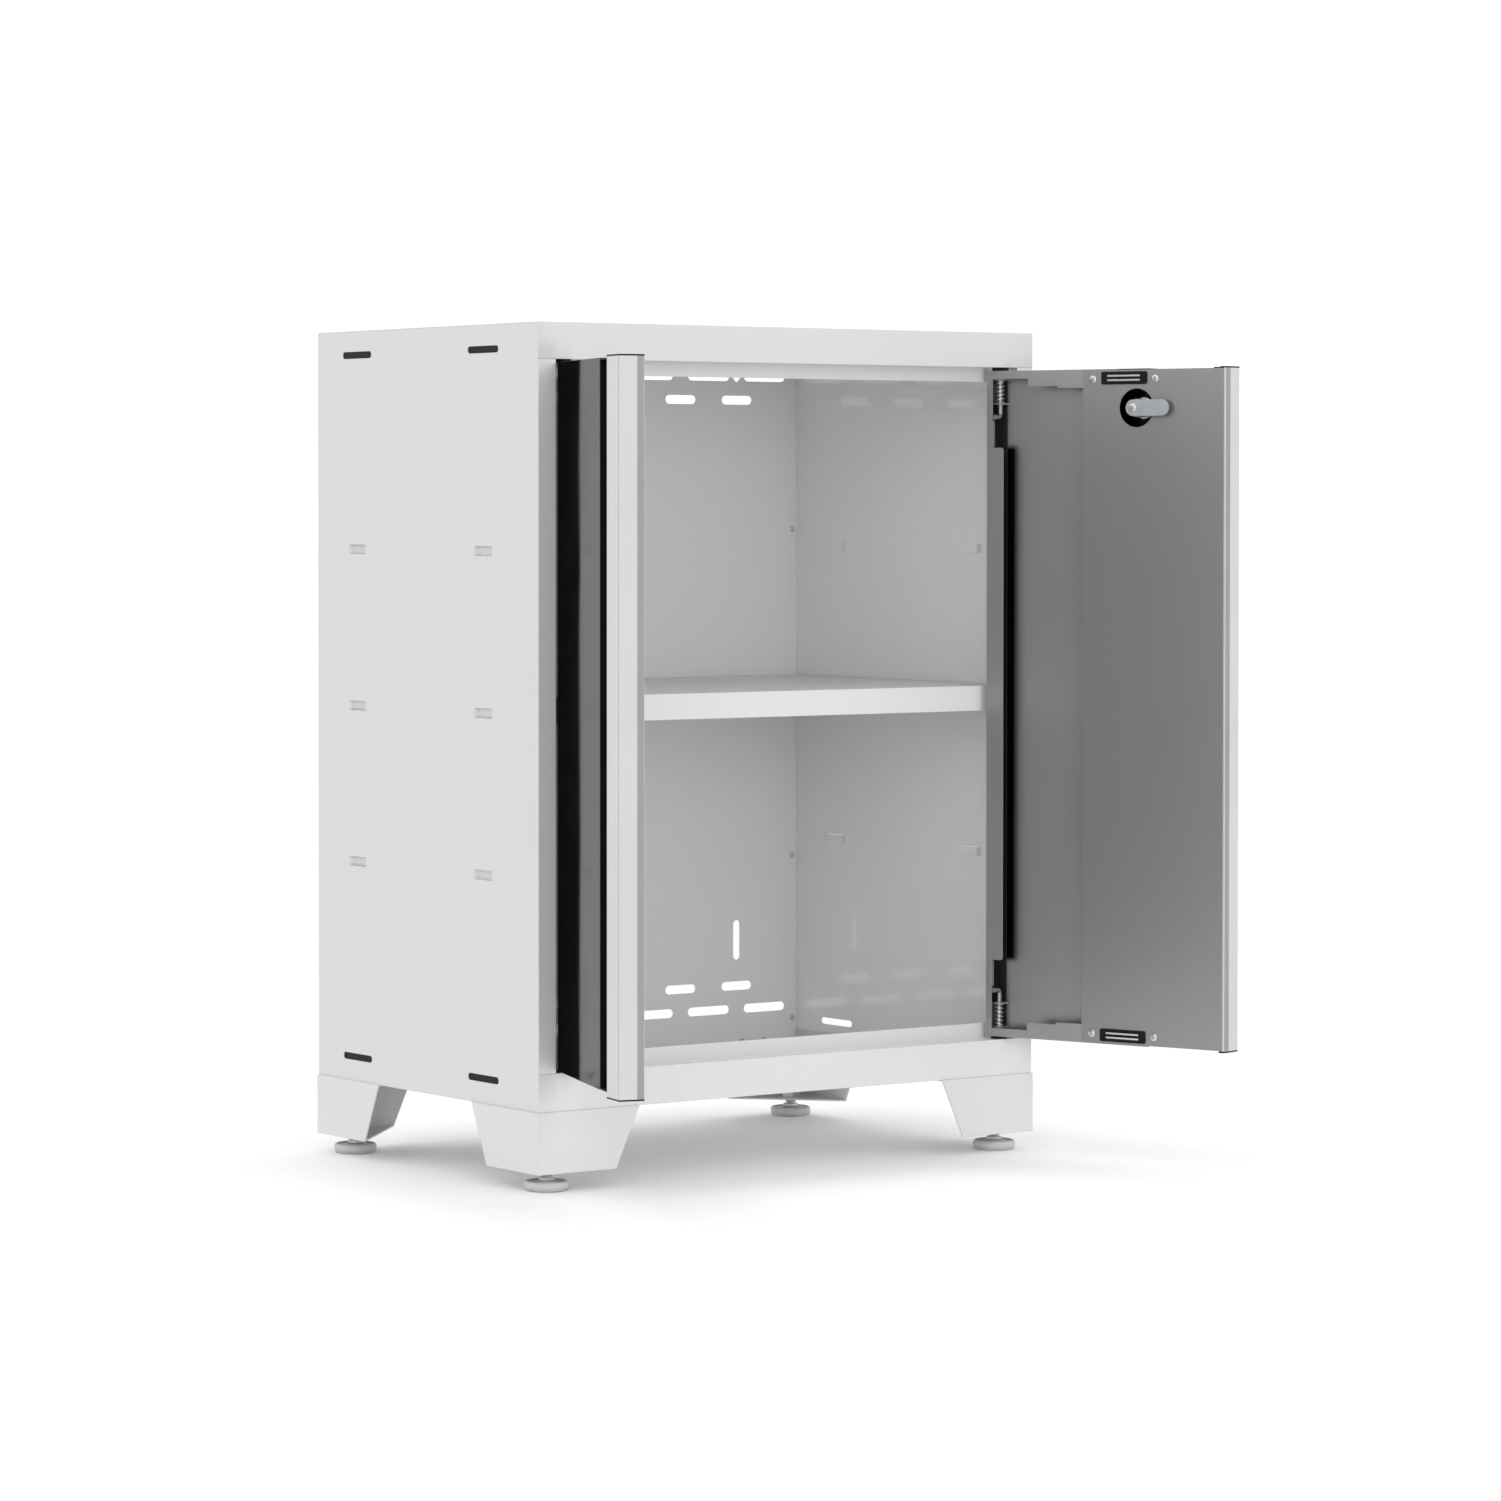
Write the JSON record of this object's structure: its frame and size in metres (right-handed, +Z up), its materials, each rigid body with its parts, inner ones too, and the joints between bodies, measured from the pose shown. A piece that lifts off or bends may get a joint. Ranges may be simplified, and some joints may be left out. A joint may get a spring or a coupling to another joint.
{
  "type": "locker cabinet",
  "caption": "Low steel storage cabinet on corner legs: two hinged doors with full-height handles, a lift-out shelf, a cam lock and levelling feet.",
  "frame": {"origin": "on the floor, under the centre of the box that the cabinet fills with both doors open", "axes": "+X to the cabinet's right-hand side seen from the front, +Y from the doors towards the back panel, +Z up"},
  "size_m": [0.7516, 0.652, 0.84],
  "materials": {
    "white_coat": "satin powder coat, off-white",
    "door_steel": "satin stainless steel sheet, smoother and more reflective outside",
    "black_coat": "black primer",
    "anodised": "satin anodised extrusion",
    "black_plastic": "black moulded plastic",
    "zinc": "bright zinc plate",
    "chrome_lock": "nickel-plated lock parts",
    "pad_plastic": "pale grey moulded plastic"
  },
  "bodies": {
    "carcass": {"side_panel_left": "white_coat", "side_panel_right": "white_coat", "slot_covers_left": "black_plastic", "back_panel": "white_coat", "back_rivets": "zinc", "top_panel": "white_coat", "bottom_panel": "white_coat", "hinge_bushes": "black_plastic", "leg_bolts": "zinc", "leg_nuts": "zinc", "foot_weld_nuts": "zinc", "leg_front_left": "white_coat", "leg_front_right": "white_coat", "leg_rear_left": "white_coat", "leg_rear_right": "white_coat"},
    "shelf": {"shelf": "white_coat"},
    "door_left": {"door_skin_left": "door_steel", "door_pan_left": "door_steel", "hinge_stiffener_left": "black_coat", "finger_channel_left": "black_plastic", "door_handle_left": "anodised", "handle_caps_left": "black_plastic", "catch_housings_left": "black_plastic", "catch_poles_left": "zinc", "catch_screws_left": "zinc", "pin_brackets_left": "zinc"},
    "door_right": {"door_skin_right": "door_steel", "door_pan_right": "door_steel", "hinge_stiffener_right": "black_coat", "finger_channel_right": "black_plastic", "door_handle_right": "anodised", "handle_caps_right": "black_plastic", "catch_housings_right": "black_plastic", "catch_poles_right": "zinc", "catch_screws_right": "zinc", "pin_brackets_right": "zinc", "lock_barrel": "chrome_lock", "lock_nut": "zinc"},
    "pin_bottom_left": {"hinge_pin_bottom_left": "zinc", "hinge_spring_bottom_left": "zinc"},
    "pin_top_left": {"hinge_pin_top_left": "zinc", "hinge_spring_top_left": "zinc"},
    "pin_bottom_right": {"hinge_pin_bottom_right": "zinc", "hinge_spring_bottom_right": "zinc"},
    "pin_top_right": {"hinge_pin_top_right": "zinc", "hinge_spring_top_right": "zinc"},
    "lock": {"lock_plug": "chrome_lock", "lock_cam": "zinc", "lock_cam_screw": "zinc"},
    "foot_front_left": {"foot_pad_front_left": "pad_plastic", "foot_stud_front_left": "zinc"},
    "foot_front_right": {"foot_pad_front_right": "pad_plastic", "foot_stud_front_right": "zinc"},
    "foot_rear_left": {"foot_pad_rear_left": "pad_plastic", "foot_stud_rear_left": "zinc"},
    "foot_rear_right": {"foot_pad_rear_right": "pad_plastic", "foot_stud_rear_right": "zinc"}
  },
  "joints": [
    {"name": "shelf_lift", "type": "slide", "parent": "carcass", "child": "shelf", "axis": [0, 0, 1], "range_m": [0, 0.1]},
    {"name": "door_left_swing", "type": "hinge", "parent": "carcass", "child": "door_left", "pos_m": [-0.2705, -0.0717, 0.119], "axis": [0, 0, 1], "range_deg": [-2, 110]},
    {"name": "pin_bottom_left_draw", "type": "slide", "parent": "door_left", "child": "pin_bottom_left", "axis": [0, 0, 1], "range_m": [0, 0.008], "stiffness_N_per_m": 600, "springref_m": -0.005, "deforming": ["hinge_spring_bottom_left"]},
    {"name": "pin_top_left_draw", "type": "slide", "parent": "door_left", "child": "pin_top_left", "axis": [0, 0, -1], "range_m": [0, 0.008], "stiffness_N_per_m": 600, "springref_m": -0.005, "deforming": ["hinge_spring_top_left"]},
    {"name": "door_right_swing", "type": "hinge", "parent": "carcass", "child": "door_right", "pos_m": [0.2705, -0.0717, 0.119], "axis": [0, 0, -1], "range_deg": [-2, 110]},
    {"name": "pin_bottom_right_draw", "type": "slide", "parent": "door_right", "child": "pin_bottom_right", "axis": [0, 0, 1], "range_m": [0, 0.008], "stiffness_N_per_m": 600, "springref_m": -0.005, "deforming": ["hinge_spring_bottom_right"]},
    {"name": "pin_top_right_draw", "type": "slide", "parent": "door_right", "child": "pin_top_right", "axis": [0, 0, -1], "range_m": [0, 0.008], "stiffness_N_per_m": 600, "springref_m": -0.005, "deforming": ["hinge_spring_top_right"]},
    {"name": "lock_turn", "type": "hinge", "parent": "door_right", "child": "lock", "pos_m": [0.31254, -0.23252, 0.7615], "axis": [-0.9397, -0.342, 0], "range_deg": [0, 90]},
    {"name": "foot_front_left_level", "type": "slide", "parent": "carcass", "child": "foot_front_left", "axis": [0, 0, 1], "range_m": [-0.02, 0.004]},
    {"name": "foot_front_right_level", "type": "slide", "parent": "carcass", "child": "foot_front_right", "axis": [0, 0, 1], "range_m": [-0.02, 0.004]},
    {"name": "foot_rear_left_level", "type": "slide", "parent": "carcass", "child": "foot_rear_left", "axis": [0, 0, 1], "range_m": [-0.02, 0.004]},
    {"name": "foot_rear_right_level", "type": "slide", "parent": "carcass", "child": "foot_rear_right", "axis": [0, 0, 1], "range_m": [-0.02, 0.004]}
  ]
}
